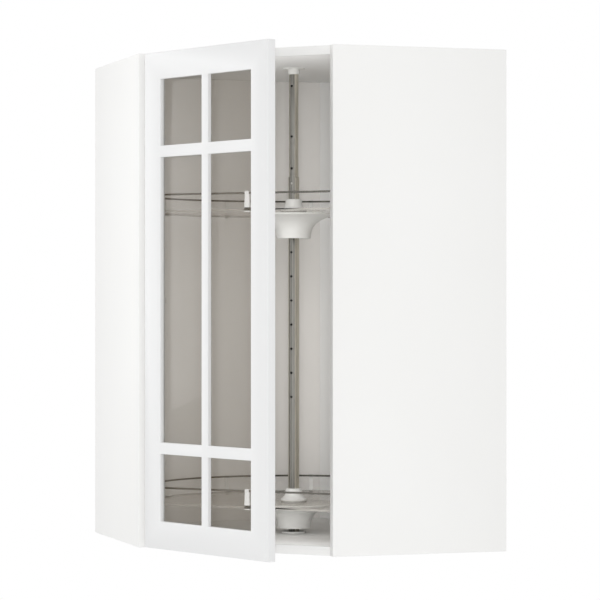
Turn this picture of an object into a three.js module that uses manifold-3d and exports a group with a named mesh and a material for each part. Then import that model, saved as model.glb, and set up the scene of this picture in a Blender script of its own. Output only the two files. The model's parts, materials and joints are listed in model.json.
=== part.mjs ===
// Corner wall cabinet with a diagonal glass door and a two-tray carousel.
// Millimetres, +Z up. The origin is on the carousel's axis, on the bottom panel's underside.
// The two walls of the room's corner are the planes X = -WALL and Y = -WALL.
import * as THREE from "three";
import { mergeVertices } from "three/addons/utils/BufferGeometryUtils.js";
import Module from "manifold-3d";

const wasm = await Module();
wasm.setup();

// Carcass
const WIDTH = 675; // cabinet along either wall
const DEPTH = 366; // side panel, wall to front edge
const HEIGHT = 1000;
const BOARD = 18;
const BACK_THICK = 3;
const BACK_INSET = 11; // wall to the inner face of a back panel
const FRONT_RECESS = 3.4; // top and bottom panels behind the side panels' inner front corners
const REAR_CUT = 155; // length cut off either back by the diagonal panel in the rear corner

// Door
const DOOR_REVEAL = 7.3; // door's upright edges to the side panels' inner front corners
const DOOR_END = 1.5; // door short of the cabinet's top and bottom
const DOOR_T = 18;
const DOOR_GAP = 2; // closed door in front of the side panels' inner front corners
const STILE = 53;
const TOP_RAIL = 54.5;
const BOTTOM_RAIL = 55.7;
const BAR = 20.5; // upright bar
const CROSSBAR = 23.3;
const PANE_TOP = 133.5;
const PANE_BOTTOM = 135;
const GLASS_T = 4;
const GLASS_SETBACK = 9; // door's front face to the glass
const REBATE = 8; // open to the rear, round the glass
const JOINT_GAP = 0.1; // between pieces that meet inside the turned door
const DOOR_REST = 23.8; // degrees open at rest

// Hinges, from the left side panel's inner front corner, with the door closed: u along the door
// to the hinge side, v out of the cabinet
const ARM_PIVOT = [-26.97, -23.8]; // on the fixed arm
const CUP_PIVOT = [-15.57, 9.7]; // in the door's cup
const LINK_ELBOW = [-26.57, 8.8]; // bend of the link between them
const LINK_SHARE = 0.08; // the link turns by this share of the door's turn
const HINGE_END = 170; // outer hinges from the cabinet's top and bottom
const CUP_D = 35;
const CUP_DEEP = 12.5;
const CUP_EDGE = 5; // door edge to the cup's edge
const CUP_WALL = 1;
const CUP_LIP = 1.1; // thickness of the flange round the cup
const CUP_FLANGE = 54; // length of the flange
const PIN_R = 1;
const PIN_CLEAR = 0.08;
const LINK_HALF = 3; // half width of a link along Z
const CHEEK = 2;
const ARM_OFF = 15.4; // side panel to the arm's middle line
const ARM_SEAT = 28; // front edge back to the arm's front seat
const ARM_HEEL = 56; // and to its heel
const ARM_R = 3.5;
const WEDGE = [16, 48]; // height of the mounting wedge and of its foot
const WEDGE_FOOT = 3;

// Post
const POST_R = 11.25;
const POST_WALL = 1.2;
const POST_TOP = 756;
const INNER_R = 9.6;
const INNER_WALL = 1.2;
const INNER_BOTTOM = 664;
const HOLE_PITCH = 50;
const HOLE_R = 2.3;
const INNER_HOLES = [774, 840, 945];
const LOCK_Z = 743;
const BASE_R = 24.5;
const SOCKET_R = 23;
const SOCKET_COLLAR = 12.6;

// Trays
const TRAY_Z = [80.5, 680.5]; // undersides of the shelves
const SHELF_T = 4.5;
const RAIL_CLEAR = 23; // rail wire's circle to the backs and side panels
const TRAY_BACK = 59.6; // straight front of the rail behind the cabinet's diagonal front
const TRAY_CORNER = 60;
const SHELF_INSET = 2; // rail wire's centre to the shelf's edge
const RAIL_UP = 36; // shelf underside to the wire's centre
const WIRE_R = 2;
const CLIP_W = 7.5;
const CLIP_ANGLES = [-91.5, -55.5, -19.5, 19.5, 55.5, 91.5]; // from the rear centre
const GRIP_W = 12;
const GRIP_H = 40;
const GRIP_OFF = 8; // from the middle of the straight front
const HUB_FLANGE = 90;
const HUB_KNEE = [48, 12]; // steers the flare: radius, depth
const HUB_RIM = 3;
const HUB_ROOF = 6;
const HUB_BOTTOM = 35.4;
const HUB_WALL = 2.5;
const HUB_DEEP = 52;
const CAP_R = 17;
const CAP_RIM = 27;
const CAP_H = 27;
const BEARING = 0.1; // running clearance on the post
const COLLAR_R = 20;
const COLLAR_TOP = -24; // from the shelf's underside
const COLLAR_H = 14;

// Derived
const WALL = (WIDTH - BOARD + BACK_INSET) / 2; // carousel axis, halfway, to either wall
const INNER = WIDTH - WALL - BOARD; // side panels' inner faces
const FRONT = DEPTH - WALL; // side panels' front edges
const BACK = -WALL + BACK_INSET; // inner faces of the backs
const BACK_END = BACK + REAR_CUT; // where they end at the corner panel
const MID = (INNER + FRONT) / 2; // middle between the inner front corners
const CORNER = (INNER - FRONT) / Math.SQRT2; // from that middle to either corner
const DOOR_HALF = CORNER - DOOR_REVEAL;
const DOOR_FACE = DOOR_GAP + DOOR_T;
const HINGE_Z = [HINGE_END, HEIGHT / 2, HEIGHT - HINGE_END];
const fromCorner = ([u, v]) => [CORNER + u, v];
const PIVOT_A = fromCorner(ARM_PIVOT);
const PIVOT_B = fromCorner(CUP_PIVOT);
const ELBOW = fromCorner(LINK_ELBOW);
const RAIL_R = INNER - RAIL_CLEAR;
const TRAY_FRONT = MID * Math.SQRT2 - TRAY_BACK;
const LINK_REST = LINK_SHARE * DOOR_REST;
const rad = THREE.MathUtils.degToRad;
const V2 = (x, y) => new THREE.Vector2(x, y);

// Geometry helpers
function solid(geometry) {
  const g = geometry.index ? geometry.toNonIndexed() : geometry.clone();
  const bare = new THREE.BufferGeometry().setAttribute("position", g.getAttribute("position"));
  const m = mergeVertices(bare, 1e-4);
  return new wasm.Manifold(
    new wasm.Mesh({
      numProp: 3,
      vertProperties: m.attributes.position.array,
      triVerts: new Uint32Array(m.index.array),
    }),
  );
}

function geometryOf(s) {
  const m = s.getMesh();
  return new THREE.BufferGeometry()
    .setAttribute("position", new THREE.BufferAttribute(m.vertProperties, 3))
    .setIndex(new THREE.BufferAttribute(m.triVerts, 1));
}

const joined = (...parts) => geometryOf(parts.map(solid).reduce((a, b) => a.add(b)));
const cut = (body, ...tools) =>
  geometryOf(tools.map(solid).reduce((a, b) => a.subtract(b), solid(body)));

const block = (x0, x1, y0, y1, z0, z1) =>
  new THREE.BoxGeometry(x1 - x0, y1 - y0, z1 - z0).translate(
    (x0 + x1) / 2,
    (y0 + y1) / 2,
    (z0 + z1) / 2,
  );

const rod = (r, z0, z1, x = 0, y = 0, sides = 32) =>
  new THREE.CylinderGeometry(r, r, z1 - z0, sides)
    .rotateX(Math.PI / 2)
    .translate(x, y, (z0 + z1) / 2);

// A rod across the post, out towards the cabinet's diagonal front.
const crossRod = (r, from, to, z, sides = 8) =>
  new THREE.CylinderGeometry(r, r, to - from, sides)
    .translate(0, (from + to) / 2, 0)
    .rotateZ(-Math.PI / 4)
    .translate(0, 0, z);

const slab = (outline, z0, z1, steps = 12) =>
  new THREE.ExtrudeGeometry(outline, {
    depth: z1 - z0,
    bevelEnabled: false,
    curveSegments: steps,
  }).translate(0, 0, z0);

// A closed profile of [radius, height] points, anticlockwise, turned about Z.
function turned(profile, sides = 36) {
  const points = profile.map(([r, z]) => V2(r, z));
  points.push(points[0].clone());
  return new THREE.LatheGeometry(points, sides).rotateX(Math.PI / 2);
}

const ring = (r0, r1, z0, z1, sides) =>
  turned([[r0, z0], [r1, z0], [r1, z1], [r0, z1]], sides);

// A strip with round ends from p to q, half as wide as 2 r.
function strip(p, q, r) {
  const a = Math.atan2(q[1] - p[1], q[0] - p[0]);
  const s = new THREE.Shape();
  s.absarc(q[0], q[1], r, a - Math.PI / 2, a + Math.PI / 2);
  s.absarc(p[0], p[1], r, a + Math.PI / 2, a + (3 * Math.PI) / 2);
  s.closePath();
  return s;
}

const paint = {
  board: [0.93, 0.93, 0.92],
  door: [0.95, 0.95, 0.95],
  glass: [0.8, 0.82, 0.8],
  plastic: [0.88, 0.88, 0.86],
  chrome: [0.75, 0.75, 0.73],
  shelf: [0.72, 0.71, 0.68],
  steel: [0.62, 0.62, 0.6],
};

function piece(parent, name, geometry, colour) {
  geometry.computeVertexNormals();
  const material = new THREE.MeshStandardMaterial({ color: new THREE.Color(...paint[colour]) });
  const mesh = new THREE.Mesh(geometry, material);
  mesh.name = name;
  parent.add(mesh);
  return mesh;
}

const cabinet = new THREE.Group();

// From the closed door's plane to the part frame.
const toPart = ([u, v]) => [MID + (v + u) / Math.SQRT2, MID + (v - u) / Math.SQRT2];

// Carcass
function horizontalPanel() {
  const cutBack = FRONT - FRONT_RECESS * Math.SQRT2;
  const s = new THREE.Shape();
  s.moveTo(BACK_END, BACK);
  s.lineTo(INNER, BACK);
  s.lineTo(INNER, cutBack);
  s.lineTo(cutBack, INNER);
  s.lineTo(BACK, INNER);
  s.lineTo(BACK, BACK_END);
  s.closePath();
  return s;
}

// A board across the rear corner, its ends cut square to the walls where the backs meet it.
function cornerPanel() {
  const outer = BACK + BACK_END - BOARD * Math.SQRT2 + WALL; // its rear face meets the walls here
  const s = new THREE.Shape();
  s.moveTo(BACK_END, BACK);
  s.lineTo(BACK, BACK_END);
  s.lineTo(-WALL, BACK_END);
  s.lineTo(-WALL, outer);
  s.lineTo(outer, -WALL);
  s.lineTo(BACK_END, -WALL);
  s.closePath();
  return s;
}

function carcass() {
  piece(cabinet, "side_panel_left",
    block(INNER, INNER + BOARD, -WALL, FRONT, 0, HEIGHT), "board");
  piece(cabinet, "side_panel_right",
    block(-WALL, FRONT, INNER, INNER + BOARD, 0, HEIGHT), "board");
  piece(cabinet, "bottom_panel", slab(horizontalPanel(), 0, BOARD), "board");
  piece(cabinet, "top_panel", slab(horizontalPanel(), HEIGHT - BOARD, HEIGHT), "board");
  piece(cabinet, "back_panel_left",
    block(BACK_END, INNER, BACK - BACK_THICK, BACK, 0, HEIGHT), "board");
  piece(cabinet, "back_panel_right",
    block(BACK - BACK_THICK, BACK, BACK_END, INNER, 0, HEIGHT), "board");
  piece(cabinet, "rear_corner_panel", slab(cornerPanel(), 0, HEIGHT), "board");
}

// Post
function post() {
  const floor = BOARD;
  const rim = 3.5;
  const pad = 1.5;
  const holes = [];
  for (let z = HOLE_PITCH; z < POST_TOP - HOLE_PITCH; z += HOLE_PITCH)
    holes.push(crossRod(HOLE_R, -2 * POST_R, 2 * POST_R, z));
  holes.push(crossRod(HOLE_R, 0, 2 * POST_R, LOCK_Z));
  piece(cabinet, "post_lower_tube",
    cut(ring(POST_R - POST_WALL, POST_R, floor + pad, POST_TOP, 36), ...holes), "chrome");

  const top = HEIGHT - BOARD - 2;
  piece(cabinet, "post_upper_tube",
    cut(ring(INNER_R - INNER_WALL, INNER_R, INNER_BOTTOM, top, 36),
      ...INNER_HOLES.map((z) => crossRod(HOLE_R, 0, 2 * POST_R, z))), "chrome");
  piece(cabinet, "post_lock_screw",
    crossRod(HOLE_R - 0.1, INNER_R, POST_R - 0.2, LOCK_Z), "steel");

  const spigot = POST_R - POST_WALL - 0.1;
  piece(cabinet, "base_socket",
    turned([
      [0, floor],
      [BASE_R, floor],
      [BASE_R, floor + rim],
      [BASE_R - 4, floor + rim],
      [BASE_R - 5, floor + pad],
      [spigot, floor + pad],
      [spigot, floor + 14],
      [0, floor + 14],
    ]), "plastic");
  const ceiling = HEIGHT - BOARD;
  piece(cabinet, "top_socket",
    turned([
      [INNER_R + 0.1, ceiling - 13],
      [SOCKET_COLLAR, ceiling - 13],
      [SOCKET_COLLAR, ceiling - 2.5],
      [SOCKET_R, ceiling - 2],
      [SOCKET_R, ceiling],
      [0, ceiling],
      [0, ceiling - 1.9],
      [INNER_R + 0.1, ceiling - 1.9],
    ]), "plastic");
}

// Tray outline: a circle about the axis, cut straight in front, with rounded corners.
function trayPath(Path, radius, front, corner) {
  const cx = Math.sqrt((radius - corner) ** 2 - (front - corner) ** 2);
  const cy = front - corner;
  const a = Math.atan2(cy, cx);
  const p = new Path();
  p.absarc(cx, cy, corner, a, Math.PI / 2);
  p.absarc(-cx, cy, corner, Math.PI / 2, Math.PI - a);
  p.absarc(0, 0, radius, Math.PI - a, 2 * Math.PI + a);
  return p;
}

// The rail's centre line, taken from the flat outline.
class RailCurve extends THREE.Curve {
  constructor(path) {
    super();
    this.path = path;
  }
  getPoint(t, target = new THREE.Vector3()) {
    const p = this.path.getPointAt(t % 1);
    return target.set(p.x, p.y, 0);
  }
}

function clip(width, height, thick, edge) {
  // local x along the rail, y outwards; y = 0 is the wire's centre, z = 0 the shelf's underside
  const grab = 9; // over and under the shelf's edge
  const jaw = 2;
  const outer = 2.6;
  const body = joined(
    block(-width / 2, width / 2, outer - thick, outer, -jaw, height),
    block(-width / 2, width / 2, -edge - grab, outer, -jaw, SHELF_T + jaw),
    new THREE.CylinderGeometry(WIRE_R + 1.8, WIRE_R + 1.8, width, 14)
      .rotateZ(Math.PI / 2)
      .translate(0, 0, RAIL_UP),
  );
  return cut(
    body,
    block(-width, width, -edge - 2 * grab, -edge + 0.3, 0, SHELF_T),
    new THREE.CylinderGeometry(WIRE_R + 0.35, WIRE_R + 0.35, 2 * width, 12)
      .rotateZ(Math.PI / 2)
      .translate(0, 0, RAIL_UP),
  );
}

function tray(label, z) {
  const g = new THREE.Group();
  g.position.z = z;
  g.rotation.z = -Math.PI / 4; // parked, its straight front along the cabinet's
  cabinet.add(g);

  const shelf = trayPath(THREE.Shape, RAIL_R - SHELF_INSET, TRAY_FRONT - SHELF_INSET, TRAY_CORNER);
  const bore = new THREE.Path();
  bore.absarc(0, 0, COLLAR_R - 4, 0, 2 * Math.PI, true);
  shelf.holes.push(bore);
  piece(g, label + "_shelf", slab(shelf, 0, SHELF_T, 20), "shelf");

  const flare = new THREE.CubicBezierCurve(
    V2(HUB_BOTTOM, -HUB_DEEP),
    V2(HUB_BOTTOM, -HUB_DEEP / 2),
    V2(HUB_KNEE[0], -HUB_KNEE[1]),
    V2(HUB_FLANGE, -HUB_RIM),
  ).getPoints(9);
  const r0 = POST_R + BEARING;
  piece(g, label + "_hub",
    turned([
      ...flare.map((p) => [p.x, p.y]),
      [HUB_FLANGE, 0],
      [r0, 0],
      [r0, COLLAR_TOP + 0.1],
      [COLLAR_R - 4, COLLAR_TOP + 0.1],
      [COLLAR_R - 4, -HUB_ROOF],
      [HUB_BOTTOM + 8, -HUB_ROOF],
      [HUB_BOTTOM - HUB_WALL, -HUB_DEEP / 2],
      [HUB_BOTTOM - HUB_WALL, -HUB_DEEP],
    ]), "plastic");
  piece(g, label + "_hub_cap",
    turned([
      [r0, SHELF_T],
      [COLLAR_R, SHELF_T],
      [COLLAR_R + 1, SHELF_T + 3],
      [CAP_RIM, SHELF_T + 4],
      [CAP_RIM, SHELF_T + 7.5],
      [CAP_R + 2, SHELF_T + 15.5],
      [CAP_R, SHELF_T + 19],
      [CAP_R, SHELF_T + CAP_H - 1],
      [CAP_R - 1, SHELF_T + CAP_H],
      [r0, SHELF_T + CAP_H],
    ]), "plastic");

  const path = trayPath(THREE.Path, RAIL_R, TRAY_FRONT, TRAY_CORNER);
  path.closePath();
  piece(g, label + "_rail",
    new THREE.TubeGeometry(new RailCurve(path), 96, WIRE_R, 8, true).translate(0, 0, RAIL_UP),
    "chrome");

  piece(g, label + "_grip",
    clip(GRIP_W, GRIP_H, 5.2, SHELF_INSET).translate(GRIP_OFF, TRAY_FRONT, 0), "plastic");
  CLIP_ANGLES.forEach((angle, i) => {
    piece(g, label + "_clip_" + (i + 1),
      clip(CLIP_W, RAIL_UP + 1, 5.2, SHELF_INSET)
        .translate(0, RAIL_R, 0)
        .rotateZ(Math.PI + rad(angle)),
      "plastic");
  });

  // What holds it on the post: a collar with a pin through one pair of index holes.
  const low = z + COLLAR_TOP - COLLAR_H;
  const pinZ = HOLE_PITCH * Math.round((z + COLLAR_TOP - COLLAR_H / 2) / HOLE_PITCH);
  piece(cabinet, label + "_support_collar",
    joined(
      ring(POST_R + 0.05, COLLAR_R, low, z + COLLAR_TOP, 36),
      crossRod(HOLE_R - 0.2, -COLLAR_R + 2, COLLAR_R - 2, pinZ),
    ), "plastic");
}

// Door: the group's origin is pivot B and its axes are u and v when closed.
function door(front) {
  const swing = V2(PIVOT_B[0] - PIVOT_A[0], PIVOT_B[1] - PIVOT_A[1])
    .rotateAround(V2(0, 0), -rad(LINK_REST))
    .add(V2(...PIVOT_A));
  const g = new THREE.Group();
  g.position.set(swing.x, swing.y, 0);
  g.rotation.z = -rad(DOOR_REST);
  front.add(g);
  const add = (name, geometry, colour) =>
    piece(g, name, geometry.translate(-PIVOT_B[0], -PIVOT_B[1], 0), colour);

  const z0 = DOOR_END;
  const z1 = HEIGHT - DOOR_END;
  const inner = DOOR_HALF - STILE;
  const low = z0 + BOTTOM_RAIL;
  const high = z1 - TOP_RAIL;
  const glassFront = DOOR_FACE - GLASS_SETBACK;
  const slack = 0.15;
  const wide = inner + REBATE + slack;
  const rebate = block(-wide, wide, 0, glassFront + slack,
    low - REBATE - slack, high + REBATE + slack);

  const cupU = DOOR_HALF - CUP_EDGE - CUP_D / 2;
  const cupHole = (z) =>
    new THREE.CylinderGeometry(CUP_D / 2 + 0.1, CUP_D / 2 + 0.1, CUP_DEEP + 1.1, 36)
      .translate(cupU, DOOR_GAP + (CUP_DEEP - 0.9) / 2, z);
  add("door_stile_hinge",
    cut(block(inner, DOOR_HALF, DOOR_GAP, DOOR_FACE, z0, z1), rebate.clone(),
      ...HINGE_Z.map(cupHole)), "door");
  add("door_stile_free",
    cut(block(-DOOR_HALF, -inner, DOOR_GAP, DOOR_FACE, z0, z1), rebate.clone()), "door");
  const span = inner - JOINT_GAP;
  add("door_rail_bottom",
    cut(block(-span, span, DOOR_GAP, DOOR_FACE, z0, low), rebate.clone()), "door");
  add("door_rail_top",
    cut(block(-span, span, DOOR_GAP, DOOR_FACE, high, z1), rebate.clone()), "door");
  add("glass_pane",
    block(-inner - REBATE, inner + REBATE, glassFront - GLASS_T, glassFront,
      low - REBATE, high + REBATE), "glass");

  const barBack = glassFront + JOINT_GAP;
  const lowBar = low + PANE_BOTTOM;
  const highBar = high - PANE_TOP - CROSSBAR;
  const bar = (u, w0, w1) => block(-u, u, barBack, DOOR_FACE, w0 + JOINT_GAP, w1 - JOINT_GAP);
  add("crossbar_lower", bar(span, lowBar - JOINT_GAP, lowBar + CROSSBAR + JOINT_GAP), "door");
  add("crossbar_upper", bar(span, highBar - JOINT_GAP, highBar + CROSSBAR + JOINT_GAP), "door");
  add("bar_bottom", bar(BAR / 2, low, lowBar), "door");
  add("bar_middle", bar(BAR / 2, lowBar + CROSSBAR, highBar), "door");
  add("bar_top", bar(BAR / 2, highBar + CROSSBAR, high), "door");

  // Cups, each with the pin that the link turns on.
  HINGE_Z.forEach((z, i) => {
    const R = CUP_D / 2;
    const floor = DOOR_GAP + CUP_DEEP;
    const face = DOOR_GAP - 0.1; // the flange lies on the door's inner face
    const back = face - CUP_LIP;
    const shell = cut(
      joined(
        new THREE.CylinderGeometry(R, R, floor - back, 36)
          .translate(cupU, (floor + back) / 2, z),
        block(cupU - 7, cupU + 6, back, face, z - CUP_FLANGE / 2, z + CUP_FLANGE / 2),
        new THREE.CylinderGeometry(R + 0.6, R + 0.6, CUP_LIP, 36)
          .translate(cupU, (back + face) / 2, z),
      ),
      new THREE.CylinderGeometry(R - CUP_WALL, R - CUP_WALL, CUP_DEEP + 2, 36)
        .translate(cupU, floor - CUP_WALL - (CUP_DEEP + 2) / 2, z),
    );
    const half = Math.sqrt(R ** 2 - (PIVOT_B[0] - cupU + PIN_R) ** 2) - 0.25;
    add("hinge_cup_" + (i + 1),
      joined(shell, rod(PIN_R, z - half, z + half, ...PIVOT_B, 16)), "steel");
  });
}

// Hinge links, with the group's origin on pivot A.
function links(front) {
  const g = new THREE.Group();
  g.position.set(...PIVOT_A, 0);
  g.rotation.z = -rad(LINK_REST);
  front.add(g);
  HINGE_Z.forEach((z, i) => {
    const plate = (p, q, r) => slab(strip(p, q, r), z - LINK_HALF, z + LINK_HALF, 6);
    const body = joined(
      plate(PIVOT_B, ELBOW, 1),
      plate(ELBOW, PIVOT_A, 1),
      rod(1.9, z - LINK_HALF, z + LINK_HALF, ...PIVOT_B, 16),
      rod(2.9, z - LINK_HALF, z + LINK_HALF, ...PIVOT_A, 16),
    );
    const bored = cut(
      body,
      ...[PIVOT_A, PIVOT_B].map((p) => rod(PIN_R + PIN_CLEAR, z - 20, z + 20, ...p, 16)),
    );
    piece(g, "hinge_link_" + (i + 1),
      bored.translate(-PIVOT_A[0], -PIVOT_A[1], 0), "steel");
  });
}

// Arms and their mounting wedges, on the left side panel.
function arms() {
  const a = toPart(PIVOT_A);
  const seat = [INNER - ARM_OFF, FRONT - ARM_SEAT];
  const heel = [INNER - ARM_OFF, FRONT - ARM_HEEL];
  const half = LINK_HALF + 0.4 + CHEEK;
  HINGE_Z.forEach((z, i) => {
    const plate = (p, q) => slab(strip(p, q, ARM_R), z - half, z + half, 8);
    const slot = rod(4.6, z - half + CHEEK, z + half - CHEEK, ...a, 24);
    const arm = cut(joined(plate(a, seat), plate(seat, heel)), slot);
    piece(cabinet, "hinge_arm_" + (i + 1),
      joined(arm, rod(PIN_R, z - half, z + half, ...a, 16)), "steel");
    piece(cabinet, "hinge_plate_" + (i + 1),
      joined(
        block(seat[0] + ARM_R, INNER, heel[1] - 6, seat[1] + 6,
          z - WEDGE[0] / 2, z + WEDGE[0] / 2),
        block(INNER - WEDGE_FOOT, INNER, heel[1] + 2, seat[1] - 2,
          z - WEDGE[1] / 2, z + WEDGE[1] / 2),
      ), "steel");
  });
}

carcass();
post();
tray("lower", TRAY_Z[0]);
tray("upper", TRAY_Z[1]);
const front = new THREE.Group();
front.position.set(MID, MID, 0);
front.rotation.z = -Math.PI / 4;
cabinet.add(front);
door(front);
links(front);
arms();

export default cabinet;
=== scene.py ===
"""Corner wall cabinet with a divided glass door, ajar, and a two-tray carousel on a plated post."""
import json
import math

import bpy
from mathutils import Matrix, Vector


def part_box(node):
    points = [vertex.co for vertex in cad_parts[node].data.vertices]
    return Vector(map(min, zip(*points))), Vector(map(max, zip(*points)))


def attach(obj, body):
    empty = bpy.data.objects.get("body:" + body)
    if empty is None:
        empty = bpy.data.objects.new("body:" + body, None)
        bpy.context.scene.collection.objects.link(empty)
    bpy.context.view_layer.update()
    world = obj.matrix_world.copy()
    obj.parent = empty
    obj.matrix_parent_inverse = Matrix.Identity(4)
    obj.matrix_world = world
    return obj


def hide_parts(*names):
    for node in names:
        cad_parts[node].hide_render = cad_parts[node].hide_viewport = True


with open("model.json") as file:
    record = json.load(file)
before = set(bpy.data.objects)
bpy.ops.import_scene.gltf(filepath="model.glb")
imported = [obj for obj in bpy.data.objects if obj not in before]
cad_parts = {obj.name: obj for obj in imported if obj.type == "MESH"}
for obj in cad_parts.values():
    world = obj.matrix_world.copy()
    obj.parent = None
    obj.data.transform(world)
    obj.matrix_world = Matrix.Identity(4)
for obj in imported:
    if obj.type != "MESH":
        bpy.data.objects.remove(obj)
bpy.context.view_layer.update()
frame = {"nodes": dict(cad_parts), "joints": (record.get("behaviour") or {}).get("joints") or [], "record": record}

MM = 0.001


# ---------------------------------------------------------------- shader maths

class Wire:
    """A shader socket that takes part in Python sums."""

    def __init__(self, finish, socket):
        self.finish = finish
        self.socket = socket

    def math(self, operation, *values):
        return self.finish.node("Math", {"operation": operation}, *values)

    def __add__(self, other):
        return self.math("ADD", self, other)

    __radd__ = __add__

    def __sub__(self, other):
        return self.math("SUBTRACT", self, other)

    def __rsub__(self, other):
        return self.math("SUBTRACT", other, self)

    def __mul__(self, other):
        return self.math("MULTIPLY", self, other)

    def __truediv__(self, other):
        return self.math("DIVIDE", self, other)

    def __pow__(self, other):
        return self.math("POWER", self, other)

    def __abs__(self):
        return self.math("ABSOLUTE", self)

    def step(self, low, high):
        """0 below low, 1 above high, smooth between them."""
        return self.finish.node(
            "MapRange", {"interpolation_type": "SMOOTHSTEP"}, self, low, high)


class Finish:
    """A material, or the world, and the nodes that make it."""

    def __init__(self, owner, output="OutputMaterial"):
        owner.use_nodes = True
        self.owner = owner
        self.tree = owner.node_tree
        self.tree.nodes.clear()
        self.output = self.tree.nodes.new("ShaderNode" + output)

    def plug(self, value, socket):
        """Links a wire to the socket, or sets the socket's own value."""
        if isinstance(value, Wire):
            self.tree.links.new(value.socket, socket)
        elif socket.type == "RGBA" and len(value) == 3:
            socket.default_value = (*value, 1.0)
        else:
            socket.default_value = value

    def node(self, kind, settings=None, *values, out=0, **named):
        """A new node with its sockets filled in order or by name, and one of its outputs."""
        made = self.tree.nodes.new("ShaderNode" + kind)
        for key, value in (settings or {}).items():
            setattr(made, key, value)
        for socket, value in zip(made.inputs, values):
            self.plug(value, socket)
        for key, value in named.items():
            self.plug(value, made.inputs[key.replace("_", " ")])
        return Wire(self, made.outputs[out])

    def place(self):
        return self.node("TexCoord", out="Object")

    def axes(self, vector):
        """The vector's x, y and z."""
        made = self.tree.nodes.new("ShaderNodeSeparateXYZ")
        self.plug(vector, made.inputs[0])
        return [Wire(self, s) for s in made.outputs]

    def noise(self, place, scale, detail=3.0, roughness=0.5):
        return self.node("TexNoise", None, Vector=place, Scale=scale, Detail=detail,
                         Roughness=roughness)

    def mixed(self, factor, one, other):
        """A colour between the two."""
        made = self.tree.nodes.new("ShaderNodeMix")
        made.data_type = "RGBA"
        self.plug(factor, made.inputs[0])
        self.plug(one, made.inputs[6])
        self.plug(other, made.inputs[7])
        return Wire(self, made.outputs[2])

    def relief(self, height, strength, distance):
        return self.node("Bump", None, Height=height, Strength=strength, Distance=distance)

    def seen(self):
        """1 for what the camera sees, also in reflections and through the glass."""
        rays = self.tree.nodes.new("ShaderNodeLightPath")
        camera, glossy, through = (
            Wire(self, rays.outputs[f"Is {kind} Ray"])
            for kind in ("Camera", "Glossy", "Transmission"))
        return camera.math("MAXIMUM", camera.math("MAXIMUM", camera, glossy), through)

    def ends_in(self, shader):
        self.plug(shader, self.output.inputs["Surface"])
        return self.owner

    def surface(self, **sockets):
        return self.ends_in(self.node("BsdfPrincipled", None, **sockets))


def new_finish(name):
    return Finish(bpy.data.materials.new(name))


# ---------------------------------------------------------------- finishes

# Heights of the two shelves' undersides and upper faces.
RIMS = [[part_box(label + "_shelf")[k][2] for k in (0, 1)] for label in ("lower", "upper")]


def foil(name, darker, lighter, roughness):
    """White foil on board: faint pearl texture and a slow drift of tone."""
    f = new_finish(name)
    at = f.place()
    grain = f.noise(at, 900.0, 2.0)
    cloud = f.noise(at, 3.0, 2.0)
    return f.surface(
        Base_Color=f.mixed(cloud, darker, lighter),
        Roughness=roughness + grain * 0.08,
        Specular_IOR_Level=0.4,
        Normal=f.relief(grain, 0.12, 0.0002))


def door_paint():
    """Sprayed white lacquer: a very fine ripple, silkier on the flats."""
    f = new_finish("door_lacquer")
    at = f.place()
    ripple = f.noise(at, 420.0, 3.0, 0.6)
    cloud = f.noise(at, 5.0, 2.0)
    return f.surface(
        Base_Color=f.mixed(cloud, (0.81, 0.813, 0.815), (0.83, 0.833, 0.835)),
        Roughness=0.3 + ripple * 0.08,
        Specular_IOR_Level=0.45,
        Normal=f.relief(ripple, 0.08, 0.0002))


def pane_glass():
    """Float glass with a faint smoky warmth."""
    f = new_finish("pane_glass")
    wave = f.noise(f.place(), 2.0, 1.0)
    return f.surface(
        Base_Color=(0.12, 0.085, 0.04),
        Roughness=0.02 + wave * 0.02,
        Specular_IOR_Level=0.5,
        Alpha=0.25)


def post_plating():
    """Zinc on drawn and welded tube: streaks down its length, and a band of painted dark reflection
    beside the holes with a painted darker reflection line at each side of it. Inside and in the holes
    it is painted near-black, as shade. Angles round the post are radians from +X."""
    f = new_finish("post_plating")
    at = f.place()
    x, y, z = f.axes(at)
    around = y.math("ARCTAN2", y, x)
    strands = f.node("CombineXYZ", None, around * 2.6, z * 0.25, 0.0)
    band = f.noise(strands, 2.2, 4.0, 0.75)
    drawn = f.node("Mapping", None, Vector=at, Scale=(1600.0, 1600.0, 9.0))
    lines = f.noise(drawn, 1.0, 2.0)
    shine = (band * 0.6 + lines * 0.4).step(0.34, 0.64)
    # Painted dark reflection: a darker band round the front of the tube, with a painted darker reflection line at
    # each of its sides.
    painted_reflection_band = around.step(-0.2, 0.6) * (1.0 - around.step(1.32, 1.55))
    painted_reflection_lines = 0.0
    for angle in (0.84, 1.31):
        painted_reflection_lines = 1.0 - abs(around - angle).step(0.03, 0.09) + painted_reflection_lines
    zinc = f.mixed(shine, (0.60, 0.57, 0.495), (0.86, 0.825, 0.735))
    # Tones of the painted dark reflection in that band.
    painted_reflection_tones = f.mixed(shine, (0.22, 0.215, 0.20), (0.34, 0.33, 0.305))
    skin = f.mixed(painted_reflection_lines * 0.6, f.mixed(painted_reflection_band, zinc, painted_reflection_tones), (0.10, 0.098, 0.09))
    # Painted shade: the tube's inside and the walls of its holes are painted near-black.
    nx, ny, nz = f.axes(f.node("TexCoord", out="Normal"))
    from_axis = (nx * x + ny * y) / (x * x + y * y + 1e-8) ** 0.5
    outside = (from_axis + abs(nz)).step(0.3, 0.7)
    return f.surface(
        Base_Color=f.mixed(outside, (0.004, 0.004, 0.004), skin),
        Metallic=outside,
        Roughness=0.34 + lines * 0.16,
        Normal=f.relief(lines, 0.12, 0.0001))


def rail_chrome():
    """Chromed wire, with the slight unevenness of thin plating."""
    f = new_finish("rail_chrome")
    mottle = f.noise(f.place(), 240.0, 3.0, 0.6)
    return f.surface(
        Base_Color=f.mixed(mottle, (0.10, 0.095, 0.085), (0.18, 0.172, 0.157)),
        Metallic=1.0,
        Roughness=0.12 + mottle * 0.1)


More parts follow.
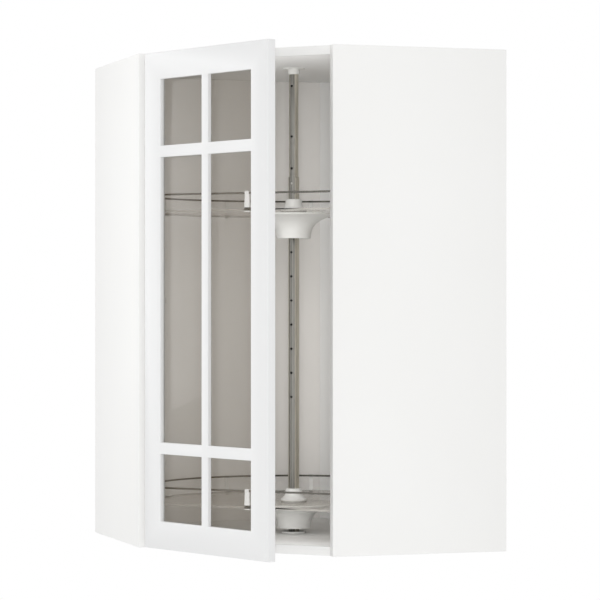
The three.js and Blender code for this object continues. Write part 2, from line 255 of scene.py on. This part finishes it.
def nickel():
    """Nickel-plated pressed steel of the hinges."""
    f = new_finish("hinge_nickel")
    speck = f.noise(f.place(), 700.0, 3.0)
    return f.surface(
        Base_Color=f.mixed(speck, (0.58, 0.57, 0.55), (0.68, 0.67, 0.65)),
        Metallic=1.0,
        Roughness=0.26 + speck * 0.12,
        Normal=f.relief(speck, 0.08, 0.0001))


def moulded_white():
    """Injection-moulded white plastic: soft sheen over a fine spark texture."""
    f = new_finish("moulded_white")
    at = f.place()
    spark = f.noise(at, 1500.0, 2.0)
    cloud = f.noise(at, 9.0, 2.0)
    return f.surface(
        Base_Color=f.mixed(cloud, (0.755, 0.75, 0.725), (0.795, 0.79, 0.765)),
        Roughness=0.34 + spark * 0.1,
        Specular_IOR_Level=0.5,
        Normal=f.relief(spark, 0.06, 0.0001))


def grip_white():
    """The grip's white plastic, with a painted dark reflection: a black band at the shelf's rim."""
    f = new_finish("grip_white")
    at = f.place()
    z = f.axes(at)[2]
    spark = f.noise(at, 1500.0, 2.0)
    # Painted dark reflection: a near-black band at the height of each shelf's rim, as the rim looks between the
    # jaws.
    rim = 0.0
    for low, high in RIMS:
        rim = z.step(low, low + 0.0003) * (1.0 - z.step(high + 0.0024, high + 0.0027)) + rim
    return f.surface(
        Base_Color=f.mixed(rim, (0.96, 0.96, 0.95), (0.008, 0.008, 0.007)),
        Roughness=0.32 + spark * 0.1,
        Specular_IOR_Level=0.5,
        Normal=f.relief(spark, 0.06, 0.0001))


def clear_shelf():
    """Clear moulded plastic with a warm smoke to it. Its rim is denser, and the upper half of it
    is painted black beside the grip, as a painted dark reflection."""
    f = new_finish("clear_shelf")
    at = f.place()
    x, y, z = f.axes(at)
    haze = f.noise(at, 14.0, 3.0)
    facing_up = abs(f.axes(f.node("TexCoord", out="Normal"))[2])
    rim = 1.0 - facing_up.step(0.3, 0.8)
    along = (x - y) * math.sqrt(0.5)
    front = (x + y).step(0.24, 0.26)
    upper_half = 0.0
    for low, high in RIMS:
        above = z.step(low + 0.0012, low + 0.0020)
        upper_half = above * (1.0 - z.step(high, high + 0.01)) + upper_half
    # Painted dark reflection: the upper half of the straight front rim beside the grip is painted near-black and
    # made more opaque.
    beside_grip = along.step(-0.128, -0.072) * (1.0 - along.step(0.013, 0.015))
    dark = beside_grip * front * rim * upper_half
    body = f.mixed(haze, (0.66, 0.60, 0.52), (0.72, 0.66, 0.58))
    edge = f.mixed(haze, (0.36, 0.345, 0.315), (0.44, 0.425, 0.39))
    return f.surface(
        Base_Color=f.mixed(dark, f.mixed(rim, body, edge), (0.006, 0.006, 0.005)),
        Roughness=0.12 + haze * 0.08,
        Specular_IOR_Level=0.4,
        Alpha=0.24 + rim * 0.40 + dark * 0.34)


FINISHES = {
    "board": foil("white_foil_board", (0.87, 0.868, 0.855), (0.90, 0.899, 0.89), 0.42),
    "backs": foil("warm_foil_backs", (0.885, 0.86, 0.83), (0.905, 0.885, 0.855), 0.46),
    "door_paint": door_paint(),
    "glass": pane_glass(),
    "chrome": rail_chrome(),
    "post": post_plating(),
    "hinge_steel": nickel(),
    "white_plastic": moulded_white(),
    "grip": grip_white(),
    "shelf": clear_shelf(),
}
SLOT_OF = {s["node"]: s["material_slot"] for s in frame["record"]["subparts"]}
BODY_OF = {n: body for body, nodes in frame["record"]["behaviour"]["bodies"].items()
           for n in nodes}


# ---------------------------------------------------------------- working on pieces

# From +Y round to the cabinet's diagonal front.
TO_FRONT = (0, 0, -math.pi / 4)
ROUND = 96  # corners of a turned ring


def in_mm(metres):
    return round(metres / MM, 1)


def level(node, end):
    """Height in mm of the node's lower (0) or upper (1) end."""
    return in_mm(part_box(node)[end][2])


def none_selected():
    if bpy.context.object and bpy.context.object.mode != "OBJECT":
        bpy.ops.object.mode_set(mode="OBJECT")
    bpy.ops.object.select_all(action="DESELECT")


def only(piece):
    """Makes the piece the one selected object, in object mode."""
    none_selected()
    piece.select_set(True)
    bpy.context.view_layer.objects.active = piece


def editing(piece):
    """Opens the piece for editing with nothing selected in it."""
    only(piece)
    bpy.ops.object.mode_set(mode="EDIT")
    bpy.ops.mesh.select_all(action="DESELECT")


def done_editing():
    bpy.ops.object.mode_set(mode="OBJECT")


def settled(piece):
    """Puts the piece's place into its mesh."""
    only(piece)
    bpy.ops.object.transform_apply(location=True, rotation=True, scale=True)


def modified(piece, kind, **settings):
    """Adds a modifier and applies it."""
    only(piece)
    modifier = piece.modifiers.new(kind.lower(), kind)
    for key, value in settings.items():
        setattr(modifier, key, value)
    bpy.ops.object.modifier_apply(modifier=modifier.name)


def eased(piece, width, segments=3, angle=30):
    """Rounds every edge sharper than the angle, by a width in mm."""
    modified(piece, "BEVEL", width=width * MM, segments=segments, limit_method="ANGLE",
             angle_limit=math.radians(angle))


def smoothed(piece, angle=32):
    """Shades the piece smooth, but for edges sharper than the angle."""
    only(piece)
    bpy.ops.object.shade_smooth_by_angle(angle=math.radians(angle))


def joined(piece, operation, *others):
    """Adds the others to the piece or cuts them out of it, and uses them up."""
    for other in others:
        modified(piece, "BOOLEAN", operation=operation, solver="EXACT", object=other)
        bpy.data.objects.remove(other)


def placed(piece, nodes, finish=None):
    """Rides on the nodes' body, stands for them and takes their finish."""
    first = nodes[0]
    slot = SLOT_OF[first]
    piece.data.materials.clear()
    piece.data.materials.append(FINISHES[finish or slot])
    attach(piece, BODY_OF[first])
    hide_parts(*nodes)
    return piece


def finished(piece, nodes, ease=0.0, segments=3, angle=30, smooth=32, finish=None):
    """Eases the edges by mm, shades the piece and puts it in the nodes' place."""
    if ease:
        eased(piece, ease, segments, angle)
    smoothed(piece, smooth)
    return placed(piece, nodes, finish)


def machined(node, name, ease, segments=3, angle=30, finish=None):
    """The node's own shape with its edges eased."""
    piece = bpy.data.objects.new(name, frame["nodes"][node].data.copy())
    bpy.context.scene.collection.objects.link(piece)
    editing(piece)
    bpy.ops.mesh.select_all(action="SELECT")
    bpy.ops.mesh.remove_doubles(threshold=0.000005)
    bpy.ops.mesh.dissolve_limited(angle_limit=math.radians(0.4))
    done_editing()
    return finished(piece, [node], ease, segments, angle, finish=finish)


def turned(name, outline):
    """A shape turned about the post: each (radius, height) in mm is one more drawn-out ring."""
    (r, z), *rest = outline
    none_selected()
    bpy.ops.mesh.primitive_circle_add(vertices=ROUND, radius=r * MM, location=(0, 0, z * MM))
    piece = bpy.context.object
    piece.name = name
    settled(piece)
    bpy.ops.object.mode_set(mode="EDIT")
    bpy.ops.mesh.select_mode(type="EDGE")
    bpy.ops.mesh.select_all(action="SELECT")
    for next_r, next_z in rest:
        bpy.ops.mesh.extrude_edges_move(
            TRANSFORM_OT_translate={"value": (0, 0, (next_z - z) * MM)})
        share = next_r / r
        bpy.ops.transform.resize(value=(share, share, 1), center_override=(0, 0, 0))
        r, z = next_r, next_z
    bpy.ops.mesh.select_all(action="SELECT")
    bpy.ops.mesh.remove_doubles(threshold=0.000002)
    bpy.ops.mesh.normals_make_consistent(inside=False)
    bpy.ops.mesh.select_mode(type="VERT")
    done_editing()
    return piece


def block(x0, x1, y0, y1, z0, z1, name="cutter"):
    """A block between the given mm."""
    none_selected()
    bpy.ops.mesh.primitive_cube_add(size=1, location=(0, 0, 0))
    made = bpy.context.object
    made.name = name
    made.scale = ((x1 - x0) * MM, (y1 - y0) * MM, (z1 - z0) * MM)
    made.location = ((x0 + x1) / 2 * MM, (y0 + y1) / 2 * MM, (z0 + z1) / 2 * MM)
    settled(made)
    return made


def rod(radius, x, z, y0, y1, corners):
    """A rod along Y between the given mm, to drill with."""
    none_selected()
    bpy.ops.mesh.primitive_cylinder_add(
        vertices=corners, radius=radius * MM, depth=(y1 - y0) * MM,
        location=(x * MM, (y0 + y1) / 2 * MM, z * MM), rotation=(math.pi / 2, 0, 0))
    made = bpy.context.object
    settled(made)
    return made


def lifted(outline, by):
    return [(r, z + by) for r, z in outline]


def swept(start, steer_a, steer_b, end, steps):
    """Points of a smooth curve between start and end, both included."""
    points = []
    for i in range(steps + 1):
        t = i / steps
        s = 1 - t
        weights = (s ** 3, 3 * s * s * t, 3 * s * t * t, t ** 3)
        points.append(tuple(sum(w * p[k] for w, p in zip(weights, (start, steer_a, steer_b, end)))
                            for k in (0, 1)))
    return points


# ---------------------------------------------------------------- carcass

for node in ("side_panel_left", "side_panel_right", "top_panel", "bottom_panel"):
    machined(node, node + "_board", 0.7)
for node, finish in (("back_panel_left", "backs"), ("back_panel_right", "backs"),
                     ("rear_corner_panel", "board")):
    machined(node, node + "_board", 0.3, 2, finish=finish)


# ---------------------------------------------------------------- door

# The side panels' inner faces and front edges from the post's axis, and half the width between
# their inner front corners.
INNER = in_mm(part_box("side_panel_left")[0][0])
FRONT = in_mm(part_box("side_panel_left")[1][1])
CORNER = round((INNER - FRONT) / math.sqrt(2), 3)

# The door as it lies shut: across from its middle, outwards from those corners, and up.
HALF_DOOR = CORNER - 7.3
PIVOT = (CORNER - 15.57, 9.7)  # pin in the hinge cups
DOOR_REST = 23.8  # degrees open
BACK, FACE = 2.0, 20.0
LOW, HIGH = level("door_stile_hinge", 0), level("door_stile_hinge", 1)
STILE, TOP_RAIL, BOTTOM_RAIL = 53.0, 54.5, 55.7
CROSSBAR, UPRIGHT_BAR = 23.3, 20.5
TOP_PANE, BOTTOM_PANE = 133.5, 135.0
REBATE = 8.0  # open to the rear, round the glass
GLASS_SETBACK = 9.0
GLASS_CLEAR = 0.05
CUP_BORE, CUP_DEEP, CUP_X = 17.6, 12.6, 176.0  # the bore's radius, its depth and its place
CUP_Z = (170.0, 500.0, 830.0)
PAST = 1.0  # how far a cutter reaches past a surface
MEMBERS = ["door_stile_hinge", "door_stile_free", "door_rail_top", "door_rail_bottom",
           "crossbar_upper", "crossbar_lower", "bar_top", "bar_middle", "bar_bottom"]


def door_frame():
    """The painted frame is one unbroken skin: the members are closed up and their edges eased."""
    hinge = next(j for j in frame["joints"] if j["child"] == "door")
    home = (Matrix.Translation(Vector((hinge["pos_m"][0], hinge["pos_m"][1], 0)))
            @ Matrix.Rotation(math.radians(-45 - DOOR_REST), 4, "Z")
            @ Matrix.Translation(Vector((-PIVOT[0], -PIVOT[1], 0)) * MM))
    inner = HALF_DOOR - STILE
    open_low, open_high = LOW + BOTTOM_RAIL, HIGH - TOP_RAIL
    lower_bar, upper_bar = open_low + BOTTOM_PANE, open_high - TOP_PANE
    columns = [(-inner, -UPRIGHT_BAR / 2), (UPRIGHT_BAR / 2, inner)]
    rows = [(open_low, lower_bar), (lower_bar + CROSSBAR, upper_bar - CROSSBAR),
            (upper_bar, open_high)]

    leaf = block(-HALF_DOOR, HALF_DOOR, BACK, FACE, LOW, HIGH, "door_frame")
    rebate_front = FACE - GLASS_SETBACK + GLASS_CLEAR
    cutters = [block(-inner - REBATE, inner + REBATE, BACK - PAST, rebate_front,
                     open_low - REBATE, open_high + REBATE)]
    cutters += [block(u0, u1, BACK - PAST, FACE + PAST, z0, z1)
                for u0, u1 in columns for z0, z1 in rows]
    cutters += [rod(CUP_BORE, CUP_X, z, BACK - PAST, BACK + CUP_DEEP, 72) for z in CUP_Z]
    joined(leaf, "DIFFERENCE", *cutters)
    eased(leaf, 1.1, 4)
    leaf.matrix_world = home
    settled(leaf)
    return finished(leaf, MEMBERS)


door_frame()
machined("glass_pane", "door_glass", 0.3, 2)


# ---------------------------------------------------------------- post

TUBE_WALL = 1.2
HOLE = 2.6
HOLE_PITCH = 50
REACH = 30  # of the drill, from the post's axis
FLOOR_SOCKET = [(0.5, 0), (24.5, 0), (24.5, 3.5), (20.5, 3.5), (19.5, 1.5), (9.95, 1.5),
                (9.95, 14), (0.5, 14)]
CEILING_SOCKET = [(9.75, -13), (12.6, -13), (12.6, -2.5), (23, -2), (23, 0), (0.5, 0),
                  (0.5, -1.9), (9.75, -1.9), (9.75, -13)]


def tube(node, name, radius, through, one_side):
    """A tube with index holes through it and holes in its front wall alone."""
    inside, low, high = radius - TUBE_WALL, level(node, 0), level(node, 1)
    piece = turned(name, [(inside, low), (radius, low), (radius, high), (inside, high),
                          (inside, low)])
    for z in (*through, *one_side):
        drill = rod(HOLE, 0, z, 0 if z in one_side else -REACH, REACH, 24)
        drill.rotation_euler = TO_FRONT
        settled(drill)
        joined(piece, "DIFFERENCE", drill)
    finished(piece, [node], 0.35, 2, 40, 40, "post")


tube("post_lower_tube", "lower_tube", 11.25, (50, *range(300, 701, HOLE_PITCH)), (743,))
tube("post_upper_tube", "upper_tube", 9.6, (), (774, 840, 945))
machined("post_lock_screw", "lock_screw", 0.2, 2)
finished(turned("floor_socket", lifted(FLOOR_SOCKET, level("bottom_panel", 1))),
         ["base_socket"], 0.5, 3, 25)
finished(turned("ceiling_socket", lifted(CEILING_SOCKET, level("top_panel", 0))),
         ["top_socket"], 0.4, 3, 25)


# ---------------------------------------------------------------- trays

# Outlines are (radius, height) above a shelf's underside.
TRAY_BORE = 11.35
HUB_FOOT, HUB_FLANGE, HUB_DEEP, HUB_WALL, HUB_ROOF = 35.4, 90, 52, 2.5, 6
HUB_LIP, HUB_SHOULDER = 3, 8
HUB_KNEE = (48, -12)  # steers the flare
NECK, NECK_DEEP = 16, 23.9
UNDER_SHELF = 0.15  # the hub's top face below the shelf
FLARE = swept((HUB_FOOT, -HUB_DEEP), (HUB_FOOT, -HUB_DEEP / 2), HUB_KNEE, (HUB_FLANGE, -HUB_LIP),
              28)
HUB = FLARE + [
    (HUB_FLANGE, -UNDER_SHELF), (TRAY_BORE, -UNDER_SHELF), (TRAY_BORE, -NECK_DEEP),
    (NECK, -NECK_DEEP), (NECK, -HUB_ROOF), (HUB_FOOT + HUB_SHOULDER, -HUB_ROOF),
    (HUB_FOOT - HUB_WALL, -HUB_DEEP / 2), (HUB_FOOT - HUB_WALL, -HUB_DEEP),
    (HUB_FOOT, -HUB_DEEP)]

# The cap: a boss through the shelf, a rim on it, and a hollow flank up to a rounded top.
BOSS = 26.4
CAP = [(TRAY_BORE, 0), (BOSS, 0), (BOSS, 4.5), (27, 5.1), (27, 8), (25.6, 8.9), (22.2, 11.2),
       (19.6, 14.4), (18.2, 17.6), (17.5, 21), (17.4, 25), (16.8, 27.6), (15, 29.4), (12.6, 30),
       (TRAY_BORE, 30), (TRAY_BORE, 0)]

RAIL_R, RAIL_FRONT, RAIL_CORNER = 300, 191.4, 60
RAIL_UP = 36
WIRE_R = 2
SHELF_T = 4.5
SHELF_INSET = 2
CLIP_ANGLES = (-91.5, -55.5, -19.5, 19.5, 55.5, 91.5)  # from the rear centre
REAR = 135  # degrees from +Y round to the rear centre
GRIP_OFF = 8  # from the middle of the straight front
GRIP_NARROWS = 10  # above the shelf's underside
GRIP_TOP = 0.8  # width of the grip's top as a share of its foot's


def tray_outline(radius, front, corner):
    """Points round a disc that is cut straight in front and has rounded corners, in mm."""
    cx = math.sqrt((radius - corner) ** 2 - (front - corner) ** 2)
    cy = front - corner
    a = math.atan2(cy, cx)

    def arc(x, y, r, start, end, count):
        return [(x + r * math.cos(start + (end - start) * i / count),
                 y + r * math.sin(start + (end - start) * i / count)) for i in range(count)]

    steps, long_steps = 26, 200
    return (arc(cx, cy, corner, a, math.pi / 2, steps) + [(cx, cy + corner)]
            + arc(-cx, cy, corner, math.pi / 2, math.pi - a, steps)
            + arc(0, 0, radius, math.pi - a, 2 * math.pi + a, long_steps))


def circle(radius):
    return [(radius * math.cos(math.tau * i / ROUND), radius * math.sin(math.tau * i / ROUND))
            for i in range(ROUND)]


def outline_piece(name, outlines, height, **curve_settings):
    """Closed outlines as a wire or a pierced plate, then made a mesh in its place."""
    curve = bpy.data.curves.new(name, "CURVE")
    for key, value in curve_settings.items():
        setattr(curve, key, value)
    for outline in outlines:
        spline = curve.splines.new("POLY")
        spline.points.add(len(outline) - 1)
        for p, (x, y) in zip(spline.points, outline):
            p.co = (x * MM, y * MM, 0, 1)
        spline.use_cyclic_u = True
    piece = bpy.data.objects.new(name, curve)
    bpy.context.scene.collection.objects.link(piece)
    only(piece)
    bpy.ops.object.convert(target="MESH")
    piece = bpy.context.object
    piece.location = (0, 0, height * MM)
    piece.rotation_euler = TO_FRONT
    settled(piece)
    editing(piece)
    bpy.ops.mesh.select_all(action="SELECT")
    bpy.ops.mesh.remove_doubles(threshold=0.000002)
    bpy.ops.mesh.normals_make_consistent(inside=False)
    done_editing()
    return piece


def tapered_grip(label, z):
    """The grip narrows a little from the shelf up to its top."""
    grip = machined(label + "_grip", label + "_front_grip", 0, finish="grip")
    grip.rotation_euler = (0, 0, -TO_FRONT[2])
    settled(grip)
    editing(grip)
    done_editing()
    for vertex in grip.data.vertices:
        vertex.select = vertex.co.z > (z + GRIP_NARROWS) * MM
    bpy.ops.object.mode_set(mode="EDIT")
    bpy.ops.transform.resize(value=(GRIP_TOP, 1, 1), center_override=(GRIP_OFF * MM, 0, 0))
    done_editing()
    grip.rotation_euler = TO_FRONT
    settled(grip)
    eased(grip, 0.6)
    smoothed(grip)


def rail_clip():
    """A clip: a plate outside the wire, a lip over it and a wider jaw on the shelf's rim. It lies
    along X with the wire's middle at Y 0 and the shelf's underside at Z 0."""
    plate_half, jaw_half, lip_half = 4.042, 4.7, 3.9
    plate_outer, jaw_outer = 3.7, 3.5
    plate_top, lip_top = 38.5, 39.6
    jaw, grab, over_wire, clear = 2, 11, 0.6, 0.02
    mouth_half, mouth_deep = 6, 20
    clip = block(-plate_half, plate_half, WIRE_R + 0.1, plate_outer, -jaw, plate_top, "rail_clip")
    foot = block(-jaw_half, jaw_half, -grab, jaw_outer, -jaw, SHELF_T + jaw)
    mouth = block(-mouth_half, mouth_half, -mouth_deep, 0.3 - SHELF_INSET, -clear, SHELF_T + clear)
    joined(foot, "DIFFERENCE", mouth)
    lip = block(-lip_half, lip_half, -over_wire, jaw_outer, RAIL_UP + WIRE_R + 0.1, lip_top)
    joined(clip, "UNION", foot, lip)
    eased(clip, 0.4, 2)
    return clip


def clipped(clip, label, z):
    """Puts a copy of the clip at each of its places on the rail."""
    for i, angle in enumerate(CLIP_ANGLES, 1):
        copy = bpy.data.objects.new(f"{label}_rail_clip_{i}", clip.data.copy())
        bpy.context.scene.collection.objects.link(copy)
        turn = math.radians(REAR + angle)
        copy.location = Matrix.Rotation(turn, 3, "Z") @ Vector((0, RAIL_R, z)) * MM
        copy.rotation_euler = (0, 0, turn)
        settled(copy)
        finished(copy, [f"{label}_clip_{i}"])


def tray(label, clip):
    """One turning tray and the collar that carries it on the post."""
    z = level(label + "_shelf", 0)
    finished(turned(label + "_tray_hub", lifted(HUB, z)), [label + "_hub"], 0.4, 2, 40, 35)
    finished(turned(label + "_tray_cap", lifted(CAP, z)), [label + "_hub_cap"], 0.5, 3, 35, 35)
    wire = outline_piece(
        label + "_rail_wire", [tray_outline(RAIL_R, RAIL_FRONT, RAIL_CORNER)], z + RAIL_UP,
        dimensions="3D", bevel_depth=WIRE_R * MM, bevel_resolution=5)
    finished(wire, [label + "_rail"], smooth=60)
    edge = 0.5  # rounding of the plate's rim
    plate = outline_piece(
        label + "_tray_plate",
        [tray_outline(RAIL_R - SHELF_INSET, RAIL_FRONT - SHELF_INSET, RAIL_CORNER),
         circle(BOSS + 0.2)],
        z + SHELF_T / 2, dimensions="2D", fill_mode="BOTH", extrude=(SHELF_T / 2 - edge) * MM,
        bevel_depth=edge * MM, bevel_resolution=2, offset=-edge * MM)
    finished(plate, [label + "_shelf"], smooth=30)
    tapered_grip(label, z)
    machined(label + "_support_collar", label + "_collar_on_post", 0.4, 2)
    clipped(clip, label, z)


pattern_clip = rail_clip()
tray("lower", pattern_clip)
tray("upper", pattern_clip)
bpy.data.objects.remove(pattern_clip)


# ---------------------------------------------------------------- hinges

for i in (1, 2, 3):
    for part, ease in (("cup", 0.3), ("arm", 0.4), ("link", 0.2), ("plate", 0.5)):
        machined(f"hinge_{part}_{i}", f"hinge_{i}_{part}", ease, 2, 40)


# ---------------------------------------------------------------- stage, light and camera

CENTRE = Vector((0.0, 0.0, 0.5))
FLOOR_Z = -1.45
PICTURE = 600  # pixels across
FOCAL = 2617.1  # pixels, from the fit to the photograph
CAMERA_AT = (1.7035, 5.1613, 0.5)
CAMERA_LOOKS = Vector((-0.3157, -0.9489, 0.0))


def pale_floor(near, far, shade):
    """White to the camera and in reflections, plain and pale for the light. It takes the object's
    shadow near it and runs out into the white further off."""
    f = new_finish("pale_floor")
    x, y, _ = f.axes(f.place())
    away = ((x * x + y * y) ** 0.5).step(near, far)
    paint = f.node("BsdfDiffuse", None, Color=(0.85, 0.85, 0.85))
    glow = f.node("Emission", None, Color=(1, 1, 1), Strength=1.0)
    share = f.seen() * (shade + away * (1.0 - shade))
    return f.ends_in(f.node("MixShader", None, share, paint, glow))


def white_studio(strength):
    """A world that is plain white where it is seen and an even light of some strength."""
    f = Finish(bpy.data.worlds.new("studio"), "OutputWorld")
    soft = f.node("Background", None, Color=(1.0, 1.0, 0.995), Strength=strength)
    white = f.node("Background", None, Color=(1, 1, 1), Strength=1.0)
    return f.ends_in(f.node("MixShader", None, f.seen(), soft, white))


def aimed(thing, name, location, direction):
    """Puts a light or camera into the scene, looking along the direction."""
    made = bpy.data.objects.new(name, thing)
    made.location = location
    made.rotation_euler = direction.to_track_quat("-Z", "Y").to_euler()
    bpy.context.scene.collection.objects.link(made)
    return made


def softbox(name, location, width, height, watts):
    """A rectangular light that faces the middle of the cabinet."""
    light = bpy.data.lights.new(name, "AREA")
    light.shape = "RECTANGLE"
    light.size, light.size_y = width, height
    light.energy = watts
    return aimed(light, name, location, CENTRE - Vector(location))


none_selected()
bpy.ops.mesh.primitive_plane_add(size=40, location=(0, 0, FLOOR_Z))
floor = bpy.context.object
floor.name = "floor"
floor.data.materials.append(pale_floor(near=1.5, far=7.0, shade=0.94))

bpy.context.scene.world = white_studio(0.68)
strip = softbox("strip_softbox", (1.92, 5.83, 0.9), width=0.5, height=4.2, watts=125)
strip.visible_glossy = False
softbox("left_softbox", (3.9, -3.9, 1.3), width=3.5, height=3.5, watts=80)
# A soft fill in the doorway that shines inwards only, as a white card beside the camera would.
softbox("doorway_fill", (0.173, 0.173, 0.5), width=0.39, height=0.96, watts=0.81)

camera = bpy.data.cameras.new("camera")
camera.sensor_width = 36.0
camera.lens = FOCAL / PICTURE * camera.sensor_width
camera.shift_y = 0.5 / PICTURE
camera.clip_start, camera.clip_end = 0.1, 100
bpy.context.scene.camera = aimed(camera, "camera", CAMERA_AT, CAMERA_LOOKS)
bpy.context.scene.view_settings.view_transform = "Standard"
